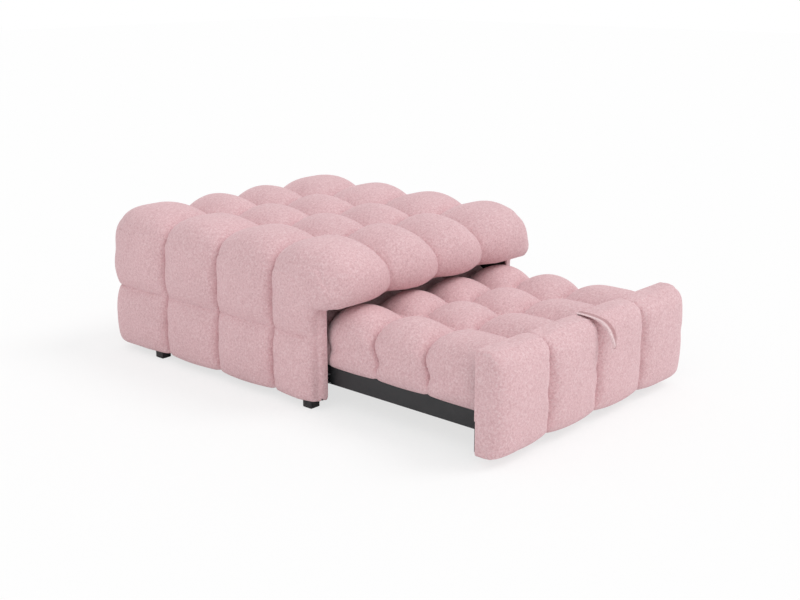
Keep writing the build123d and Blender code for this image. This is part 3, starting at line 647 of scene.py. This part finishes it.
def makePanelPad():
    plan = panelPlan
    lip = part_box("panel_pad")[1].y
    boardLow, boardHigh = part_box("panel_board")
    boardFace, rim = boardLow.y, boardHigh.y - 0.0002
    lowCorner = (-blockHalf, boardFace - plan["depth"], plan["low"] + plan["notch"])
    highCorner = (blockHalf, rim + plan["spare"], plan["top"] - plan["notch"])
    piece = addBox("panel_cover", lowCorner, highCorner)
    onSeam = remeshOnSeams(piece, plan["voxel"], (plan["columns"], (), ()))
    points = readPoints(piece)
    ahead = smoothStep(rim - 0.012, rim - 0.040, points[:, 1])
    points = roundOff(points, lowCorner, highCorner, {
        "x": plan["sideRound"], "front": plan["topRound"], "back": plan["backRound"],
        "bottom": plan["sideRound"] + (plan["hemRound"] - plan["sideRound"]) * ahead,
        "top": plan["sideRound"] + (plan["topRound"] - plan["sideRound"]) * ahead})
    column = puffShare(points[:, 0], plan["columns"], plan["reach"], plan["flank"], plan["steep"])
    upward = (points[:, 2] - lowCorner[2]) / (highCorner[2] - lowCorner[2]) * 2 - 1
    points[:, 2] += plan["notch"] * column * np.sign(upward) * np.abs(upward) ** 3
    writePoints(piece, points)
    normals = smoothNormals(piece, 3)
    ends = 0.25 + 0.75 * softShare(points[:, 0], (-blockHalf - 0.003, blockHalf + 0.003), 0.075)
    belly = 1 - 0.45 * np.abs(upward) ** 2.5
    forward = np.where(normals[:, 1] < 0, normals[:, 1] ** 2, 0)
    height = forward * plan["crown"] * column * ends * belly
    writePoints(piece, points + normals * height[:, None])
    faces = (normals[:, 1] < 0.5,)
    rear = (normals[:, 1] > 0.3) | (points[:, 1] > lip - 0.012)
    inflate(piece, np.where((onSeam[0] > 0) | rear, 1.0, 0.0), plan["cap"])
    creaseSeams(piece, onSeam, faces)
    subdivideOnce(piece)
    points, normals = readPoints(piece), readPoints(piece, "normal")
    forward = smoothStep(0.2, -0.2, normals[:, 1])
    toSeam = nearest(points[:, 0], plan["columns"])
    points = gatherSeam(points, normals, toSeam, points[:, 2], 0.7 * forward, 61)
    writePoints(piece, points)
    cutPanelRooms(piece, boardFace, rim, lip)
    smoothShade(piece)
    return piece


def cutPanelRooms(piece, boardFace, rim, lip):
    # cuts the back flat and makes room for the packer and the board: no two boxes share a plane,
    # and the packer's room comes early, because the exact solver fails otherwise
    gap = fitGap
    boardLow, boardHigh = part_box("panel_board")
    packerLow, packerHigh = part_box("strap_packer")
    inner = blockHalf - panelPlan["boardInset"] + gap
    base, top, far = boardLow.z - 0.0005, boardHigh.z + gap, rim + 0.1
    rooms = (
        ("behind", (-1, rim, -1), (1, far, 1)),
        ("packer_room", (packerLow.x - gap, boardFace - 1.5 * gap, packerLow.z - 0.02),
         (packerHigh.x + gap, rim + 0.2, packerHigh.z + 0.05)),
        ("board_room", (-inner, boardFace - gap, base), (inner, far, top)),
        ("lip_room", (boardLow.x - gap, lip - gap, base), (boardHigh.x + gap, far, top)),
        ("below_skirt", (-1, lip - gap, -1), (1, far, panelPlan["skirt"])),
    )
    for name, low, high in rooms:
        cutAway(piece, addBox(name, low, high))


panelPad = makePanelPad()
print("panel pad made:", len(panelPad.data.polygons), "faces")


# Pull strap: a flat ribbon over the panel's top that hangs down and turns edge-on at its end
strapPlan = {
    "width": 0.029,
    "thickness": 0.0032,
    "reach": (0.080, 0.1120, 0.1140),  # how far ahead of the board's face it bends, and ends
    "drop": (0.0, 0.023, 0.0825),  # and how far down it is there
    "sunk": 0.0018,  # middle of the ribbon below the CAD strap's top
    "samples": 200,
    "cup": 0.0012,  # the ribbon is very slightly hollow
    "fullness": 1.4,  # how much thicker the hanging part is
    "turn": math.radians(28),  # how far the hanging end has turned about its own length
    "tip": 0.35,  # share of the width left at the very end
}


def placeOnStrap(share):
    # the middle line: flat over the packer, then one smooth curve that falls in front of the panel
    plan = strapPlan
    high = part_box("pull_strap")[1]
    middle = high.z - plan["sunk"]
    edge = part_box("panel_board")[0].y - 0.0006
    bends = [(edge - ahead, middle - down) for ahead, down in zip(plan["reach"], plan["drop"])]
    t = np.linspace(0, 1, plan["samples"])[:, None]
    first, second, third, last = np.array([(edge, middle)] + bends)
    curve = first * (1 - t) ** 3 + last * t ** 3
    curve += 3 * t * (1 - t) * (second * (1 - t) + third * t)
    route = np.vstack([(high.y, middle), curve])
    steps = np.linalg.norm(np.diff(route, axis=0), axis=1)
    travelled = np.concatenate([[0], np.cumsum(steps)]) / steps.sum()
    place = np.column_stack([np.interp(share, travelled, route[:, side]) for side in (0, 1)])
    course = np.gradient(route, axis=0)
    outward = np.column_stack([np.interp(share, travelled, course[:, 1]),
                               -np.interp(share, travelled, course[:, 0])])
    return place, outward / np.linalg.norm(outward, axis=1)[:, None]


def makeStrap():
    plan = strapPlan
    selectNothing()
    bpy.ops.mesh.primitive_grid_add(x_subdivisions=10, y_subdivisions=70, size=1)
    piece = bpy.context.object
    piece.name = piece.data.name = "pull_strap_ribbon"
    applyModifier(piece, "SOLIDIFY", thickness=plan["thickness"], offset=0)
    applyModifier(piece, "SUBSURF", levels=1, render_levels=1)
    points = readPoints(piece)
    share = np.clip(points[:, 1] + 0.5, 0, 1)
    place, outward = placeOnStrap(share)
    turn = plan["turn"] * smoothStep(0.74, 0.97, share)
    narrow = 1 - (1 - plan["tip"]) * smoothStep(0.92, 1.0, share)
    cup = plan["cup"] * np.cos(points[:, 0] * math.pi)
    across = points[:, 0] * plan["width"] * narrow
    over = points[:, 2] * (1 + plan["fullness"] * smoothStep(0.3, 0.6, share))
    over += cup * smoothStep(0.2, 0.5, share)
    sideways = across * np.cos(turn) + over * np.sin(turn)
    lifted = over * np.cos(turn) - across * np.sin(turn)
    writePoints(piece, np.column_stack([sideways, place + outward * lifted[:, None]]))
    useOnly(piece)
    bpy.ops.object.mode_set(mode="EDIT")
    bpy.ops.mesh.select_all(action="SELECT")
    bpy.ops.mesh.normals_make_consistent(inside=False)
    bpy.ops.object.mode_set(mode="OBJECT")
    smoothShade(piece)
    return piece


strap = makeStrap()
print("pull strap made")


# Materials

def newMaterial(name):
    material = bpy.data.materials.new(name)
    material.use_nodes = True
    tree = material.node_tree
    return material, tree, tree.nodes["Principled BSDF"]


def addNode(tree, kind, **values):
    node = tree.nodes.new("ShaderNode" + kind)
    for name, value in values.items():
        if hasattr(node, name):
            setattr(node, name, value)
        else:
            node.inputs[name.replace("_", " ").title()].default_value = value
    return node


def placeOf(tree, stretch=(1, 1, 1)):
    # the piece's own place, stretched for grain and brushing
    coordinates = addNode(tree, "TexCoord")
    mapping = addNode(tree, "Mapping")
    mapping.inputs["Scale"].default_value = stretch
    tree.links.new(coordinates.outputs["Object"], mapping.inputs["Vector"])
    return mapping.outputs["Vector"]


def noiseOf(tree, place, scale, detail=3, roughness=0.6, distortion=0):
    noise = addNode(tree, "TexNoise", scale=scale, detail=detail, roughness=roughness,
                    distortion=distortion)
    tree.links.new(place, noise.inputs["Vector"])
    return noise.outputs["Fac"]


def cellsOf(tree, place, scale):
    cells = addNode(tree, "TexVoronoi", feature="F1", scale=scale)
    tree.links.new(place, cells.inputs["Vector"])
    return cells.outputs["Distance"]


def rampOf(tree, value, stops):
    # stops: (place, colour) with plain colours of three numbers
    ramp = addNode(tree, "ValToRGB")
    points = ramp.color_ramp.elements
    while len(points) < len(stops):
        points.new(0.5)
    for point, (place, colour) in zip(points, stops):
        point.position = place
        point.color = (*colour, 1)
    tree.links.new(value, ramp.inputs["Fac"])
    return ramp.outputs["Color"]


def spanOf(tree, value, low, high):
    span = addNode(tree, "MapRange")
    span.inputs["To Min"].default_value = low
    span.inputs["To Max"].default_value = high
    tree.links.new(value, span.inputs["Value"])
    return span.outputs["Result"]


def blendOf(tree, kind, first, second, share):
    mix = addNode(tree, "MixRGB", blend_type=kind)
    for number, value in ((0, share), (1, first), (2, second)):
        if isinstance(value, (int, float)):
            mix.inputs[number].default_value = value
        elif isinstance(value, tuple):
            mix.inputs[number].default_value = (*value, 1)
        else:
            tree.links.new(value, mix.inputs[number])
    return mix.outputs["Color"]


def addBump(tree, shader, height, strength, distance):
    bump = addNode(tree, "Bump")
    bump.inputs["Strength"].default_value = strength
    bump.inputs["Distance"].default_value = distance
    tree.links.new(height, bump.inputs["Height"])
    tree.links.new(bump.outputs["Normal"], shader.inputs["Normal"])


boucleLook = {
    "shade": (0.605, 0.356, 0.378),
    "middle": (0.745, 0.489, 0.512),
    "bright": (0.850, 0.650, 0.668),
    "yarn": 310,  # loops in a metre
    "heather": 150,
    "clouds": 5.5,
    "bump": 0.42,
    "depth": 0.0016,
}


def makeBoucle():
    # heathered looped yarn: fine loops, speckled colour, slow lighter and darker clouds, and painted
    # shade in the hollows between the loops
    look = boucleLook
    material, tree, shader = newMaterial("pink_boucle")
    place = placeOf(tree)
    speckle = noiseOf(tree, place, look["heather"], 5, 0.78)
    colour = rampOf(tree, speckle, ((0.30, look["shade"]), (0.5, look["middle"]), (0.70, look["bright"])))
    clouds = spanOf(tree, noiseOf(tree, place, look["clouds"], 3), 0.93, 1.06)
    colour = blendOf(tree, "MULTIPLY", colour, clouds, 1.0)
    loops = cellsOf(tree, place, look["yarn"])
    # painted shade: darker in the hollows between the yarn loops, a little lighter on their tops
    paintedPitShade = spanOf(tree, loops, 1.05, 0.86)
    colour = blendOf(tree, "MULTIPLY", colour, paintedPitShade, 0.8)
    tree.links.new(colour, shader.inputs["Base Color"])
    fuzz = noiseOf(tree, place, look["heather"] * 1.7, 3)
    height = blendOf(tree, "ADD", spanOf(tree, loops, 1.0, 0.0), fuzz, 0.7)
    addBump(tree, shader, height, look["bump"], look["depth"])
    shader.inputs["Roughness"].default_value = 0.96
    shader.inputs["Specular IOR Level"].default_value = 0.12
    shader.inputs["Sheen Weight"].default_value = 0.28
    shader.inputs["Sheen Roughness"].default_value = 0.55
    shader.inputs["Sheen Tint"].default_value = (1.0, 0.86, 0.88, 1)
    return material


webbingLook = {
    "shade": (0.700, 0.470, 0.490),
    "bright": (0.880, 0.700, 0.715),
    "edge": (1.0, 1.0, 1.0),  # full colour on the left edge, a painted highlight beside the face's painted shade
    # painted shade over the ribbon's face, darker towards its right side
    "face": (0.62, 0.44, 0.45),
    "ribs": 520,
    "half": 0.012,  # half width over which the shading runs
}


def makeWebbing():
    # the strap is woven flat, with fine ribs across it
    look = webbingLook
    material, tree, shader = newMaterial("pink_webbing")
    place = placeOf(tree)
    ribs = addNode(tree, "TexWave", wave_type="BANDS", bands_direction="DIAGONAL",
                   scale=look["ribs"], distortion=1.2)
    tree.links.new(place, ribs.inputs["Vector"])
    mottle = noiseOf(tree, place, 240, 4)
    colour = rampOf(tree, mottle, ((0.32, look["shade"]), (0.66, look["bright"])))
    colour = blendOf(tree, "MULTIPLY", colour, spanOf(tree, ribs.outputs["Fac"], 0.9, 1.04), 1.0)
    # painted highlight and shade across the ribbon: bright at its left edge, darker over the face to the
    # right
    sides = addNode(tree, "SeparateXYZ")
    tree.links.new(place, sides.inputs[0])
    across = addNode(tree, "MapRange")
    across.inputs["From Min"].default_value = -look["half"]
    across.inputs["From Max"].default_value = look["half"]
    tree.links.new(sides.outputs["X"], across.inputs["Value"])
    shading = rampOf(tree, across.outputs["Result"], ((0.18, look["edge"]), (0.42, look["face"])))
    colour = blendOf(tree, "MULTIPLY", colour, shading, 1.0)
    tree.links.new(colour, shader.inputs["Base Color"])
    addBump(tree, shader, ribs.outputs["Fac"], 0.3, 0.0006)
    shader.inputs["Roughness"].default_value = 0.88
    shader.inputs["Sheen Weight"].default_value = 0.2
    return material


def makeWood(name, dark, light, grain, rough):
    # grain runs along the piece's length; fine pores and a few darker streaks
    material, tree, shader = newMaterial(name)
    place = placeOf(tree, grain)
    figure = noiseOf(tree, place, 26, 6, 0.62, 0.8)
    streaks = noiseOf(tree, place, 90, 3, 0.5)
    colour = rampOf(tree, figure, ((0.28, dark), (0.62, light)))
    colour = blendOf(tree, "MULTIPLY", colour, spanOf(tree, streaks, 0.84, 1.08), 0.7)
    tree.links.new(colour, shader.inputs["Base Color"])
    tree.links.new(spanOf(tree, figure, rough + 0.1, rough - 0.08), shader.inputs["Roughness"])
    addBump(tree, shader, streaks, 0.18, 0.0006)
    return material


def makeFrameWood():
    return makeWood("stained_plywood", (0.016, 0.014, 0.013), (0.048, 0.042, 0.038), (7, 0.6, 7), 0.62)


def makeSlatWood():
    return makeWood("birch_slats", (0.55, 0.38, 0.20), (0.80, 0.63, 0.41), (0.5, 8, 14), 0.45)


def makeSpringSteel():
    material, tree, shader = newMaterial("spring_wire")
    place = placeOf(tree)
    drawn = noiseOf(tree, place, 420, 4)
    colour = rampOf(tree, drawn, ((0.3, (0.30, 0.30, 0.31)), (0.7, (0.50, 0.50, 0.52))))
    tree.links.new(colour, shader.inputs["Base Color"])
    tree.links.new(spanOf(tree, drawn, 0.28, 0.46), shader.inputs["Roughness"])
    shader.inputs["Metallic"].default_value = 1.0
    addBump(tree, shader, drawn, 0.12, 0.0002)
    return material


def makeZinc():
    # zinc plate: pale crystals with a slightly different gloss each
    material, tree, shader = newMaterial("zinc_plate")
    place = placeOf(tree)
    crystals = cellsOf(tree, place, 210)
    haze = noiseOf(tree, place, 60, 4)
    colour = rampOf(tree, crystals, ((0.1, (0.50, 0.51, 0.53)), (0.8, (0.72, 0.73, 0.75))))
    tree.links.new(colour, shader.inputs["Base Color"])
    tree.links.new(spanOf(tree, haze, 0.24, 0.46), shader.inputs["Roughness"])
    shader.inputs["Metallic"].default_value = 1.0
    addBump(tree, shader, crystals, 0.08, 0.0003)
    return material


def makePowderCoat():
    # satin black powder coat with the orange peel of a sprayed and baked finish
    material, tree, shader = newMaterial("black_powder_coat")
    place = placeOf(tree)
    peel = noiseOf(tree, place, 330, 2, 0.4)
    dust = noiseOf(tree, place, 14, 5)
    colour = rampOf(tree, dust, ((0.3, (0.010, 0.010, 0.012)), (0.7, (0.020, 0.020, 0.022))))
    tree.links.new(colour, shader.inputs["Base Color"])
    tree.links.new(spanOf(tree, dust, 0.40, 0.54), shader.inputs["Roughness"])
    addBump(tree, shader, peel, 0.22, 0.0005)
    return material


def makeFelt():
    material, tree, shader = newMaterial("grey_felt")
    place = placeOf(tree, (1, 1, 3))
    fibres = noiseOf(tree, place, 190, 6, 0.75, 1.5)
    colour = rampOf(tree, fibres, ((0.32, (0.17, 0.17, 0.18)), (0.68, (0.38, 0.38, 0.38))))
    tree.links.new(colour, shader.inputs["Base Color"])
    shader.inputs["Roughness"].default_value = 0.98
    addBump(tree, shader, fibres, 0.6, 0.001)
    return material


def makeLining():
    # black non-woven cloth with the small bonded dots of its making
    material, tree, shader = newMaterial("black_lining")
    place = placeOf(tree)
    dots = cellsOf(tree, place, 420)
    fibres = noiseOf(tree, place, 160, 5, 0.7)
    colour = rampOf(tree, fibres, ((0.3, (0.010, 0.010, 0.011)), (0.7, (0.026, 0.026, 0.028))))
    tree.links.new(colour, shader.inputs["Base Color"])
    shader.inputs["Roughness"].default_value = 0.93
    addBump(tree, shader, dots, 0.35, 0.0005)
    return material


def makeMoulded(name, dark, light, rough, grain):
    # moulded plastic and rubber: a fine eroded grain and slightly uneven gloss
    material, tree, shader = newMaterial(name)
    place = placeOf(tree)
    grit = noiseOf(tree, place, grain, 3, 0.55)
    wear = noiseOf(tree, place, 35, 4)
    colour = rampOf(tree, wear, ((0.3, dark), (0.7, light)))
    tree.links.new(colour, shader.inputs["Base Color"])
    tree.links.new(spanOf(tree, wear, rough - 0.07, rough + 0.08), shader.inputs["Roughness"])
    addBump(tree, shader, grit, 0.25, 0.0003)
    return material


def makeFootPlastic():
    return makeMoulded("foot_plastic", (0.014, 0.014, 0.015), (0.028, 0.028, 0.030), 0.52, 600)


def makeRubber():
    return makeMoulded("stop_rubber", (0.020, 0.020, 0.021), (0.036, 0.036, 0.036), 0.82, 420)


def makeWheelPlastic():
    return makeMoulded("nylon_wheels", (0.055, 0.055, 0.058), (0.085, 0.085, 0.090), 0.42, 520)


def makeBlackBoard():
    # black-faced fibre board
    material, tree, shader = newMaterial("black_board")
    place = placeOf(tree, (1, 4, 1))
    chips = cellsOf(tree, place, 240)
    haze = noiseOf(tree, place, 20, 4)
    colour = rampOf(tree, haze, ((0.3, (0.013, 0.013, 0.014)), (0.7, (0.026, 0.026, 0.028))))
    tree.links.new(colour, shader.inputs["Base Color"])
    tree.links.new(spanOf(tree, haze, 0.5, 0.66), shader.inputs["Roughness"])
    addBump(tree, shader, chips, 0.15, 0.0004)
    return material


finishes = {
    "boucle": makeBoucle(),
    "frame_wood": makeFrameWood(),
    "spring_steel": makeSpringSteel(),
    "felt": makeFelt(),
    "lining": makeLining(),
    "foot_plastic": makeFootPlastic(),
    "zinc": makeZinc(),
    "rubber": makeRubber(),
    "black_steel": makePowderCoat(),
    "slat_wood": makeSlatWood(),
    "black_board": makeBlackBoard(),
    "wheel_plastic": makeWheelPlastic(),
}


def paint(piece, material):
    piece.data.materials.clear()
    piece.data.materials.append(material)


for part in frame["record"]["subparts"]:
    paint(nodes[part["node"]], finishes[part["material_slot"]])
for piece in (cover, mattress, panelPad):
    paint(piece, finishes["boucle"])
paint(strap, makeWebbing())
print("materials set:", len(finishes) + 1)


# What each soft piece rides on and stands for
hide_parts("seat_cushion", "left_side_pad", "right_side_pad", "back_pad")
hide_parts("mattress")
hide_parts("panel_pad")
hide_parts("pull_strap")
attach(cover, "block")
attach(mattress, "bed_section")
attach(panelPad, "bed_section")
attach(strap, "bed_section")


# Floor, light and camera
stagePlan = {"floorSize": 40, "floorShade": 0.94, "haze": 0.70}


def makeFloor():
    # the haze lets the camera see a part of the floor as plain white, which softens the shadow
    selectNothing()
    bpy.ops.mesh.primitive_plane_add(size=stagePlan["floorSize"], location=(0, 0, -0.0005))
    floor = bpy.context.object
    floor.name = "floor"
    material, tree, shader = newMaterial("floor_white")
    tree.nodes.remove(shader)
    plain = addNode(tree, "BsdfDiffuse")
    plain.inputs["Color"].default_value = [stagePlan["floorShade"]] * 3 + [1]
    white = addNode(tree, "Emission")
    light = addNode(tree, "LightPath")
    share = addNode(tree, "Math", operation="MULTIPLY")
    share.inputs[1].default_value = stagePlan["haze"]
    mix = addNode(tree, "MixShader")
    tree.links.new(light.outputs["Is Camera Ray"], share.inputs[0])
    tree.links.new(share.outputs[0], mix.inputs[0])
    tree.links.new(plain.outputs[0], mix.inputs[1])
    tree.links.new(white.outputs[0], mix.inputs[2])
    tree.links.new(mix.outputs[0], tree.nodes["Material Output"].inputs["Surface"])
    paint(floor, material)


studio = {
    "sky": 0.70,
    "lamps": (  # name, where it shines from, strength, softness in degrees
        ("key", (0.55, -0.62, 1.0), 1.00, 28),
        ("fill", (-0.9, -0.5, 0.9), 0.42, 50),
    ),
}


def makeLight():
    world = bpy.data.worlds.new("studio")
    bpy.context.scene.world = world
    world.use_nodes = True
    tree = world.node_tree
    sky = tree.nodes["Background"]
    sky.inputs["Color"].default_value = (1, 1, 1, 1)
    sky.inputs["Strength"].default_value = studio["sky"]
    white = addNode(tree, "Background")
    white.inputs["Color"].default_value = (1, 1, 1, 1)
    white.inputs["Strength"].default_value = 1.0
    light = addNode(tree, "LightPath")
    seen = addNode(tree, "Math", operation="MAXIMUM")
    clear = addNode(tree, "Math", operation="MAXIMUM")
    mix = addNode(tree, "MixShader")
    tree.links.new(light.outputs["Is Camera Ray"], seen.inputs[0])
    tree.links.new(light.outputs["Is Glossy Ray"], seen.inputs[1])
    tree.links.new(seen.outputs[0], clear.inputs[0])
    tree.links.new(light.outputs["Is Transmission Ray"], clear.inputs[1])
    tree.links.new(clear.outputs[0], mix.inputs[0])
    tree.links.new(sky.outputs[0], mix.inputs[1])
    tree.links.new(white.outputs[0], mix.inputs[2])
    tree.links.new(mix.outputs[0], tree.nodes["World Output"].inputs["Surface"])
    for name, place, strength, softness in studio["lamps"]:
        lamp = bpy.data.lights.new(name, "SUN")
        lamp.energy = strength
        lamp.angle = math.radians(softness)
        sun = bpy.data.objects.new(name, lamp)
        bpy.context.scene.collection.objects.link(sun)
        sun.rotation_euler = (-Vector(place)).to_track_quat("-Z", "Y").to_euler()


view = {
    "turn": math.radians(-48.16),
    "tilt": math.radians(15.52),
    "distance": 3.7943,
    "target": (-0.11495, 0.0, 0.27502),  # its depth is measured from the wall fronts
    "lens": 54.5,
}


def makeCamera():
    turn, tilt = view["turn"], view["tilt"]
    target = Vector(view["target"]) + Vector((0, wallFront, 0))
    back = Vector((math.sin(turn) * math.cos(tilt), -math.cos(turn) * math.cos(tilt), math.sin(tilt)))
    lens = bpy.data.cameras.new("camera")
    lens.lens = view["lens"]
    lens.sensor_width = 36
    camera = bpy.data.objects.new("camera", lens)
    bpy.context.scene.collection.objects.link(camera)
    camera.location = target + back * view["distance"]
    camera.rotation_mode = "QUATERNION"
    camera.rotation_quaternion = (-back).to_track_quat("-Z", "Y")
    bpy.context.scene.camera = camera


makeFloor()
makeLight()
makeCamera()
bpy.context.scene.view_settings.view_transform = "Standard"
print("floor, light and camera set")
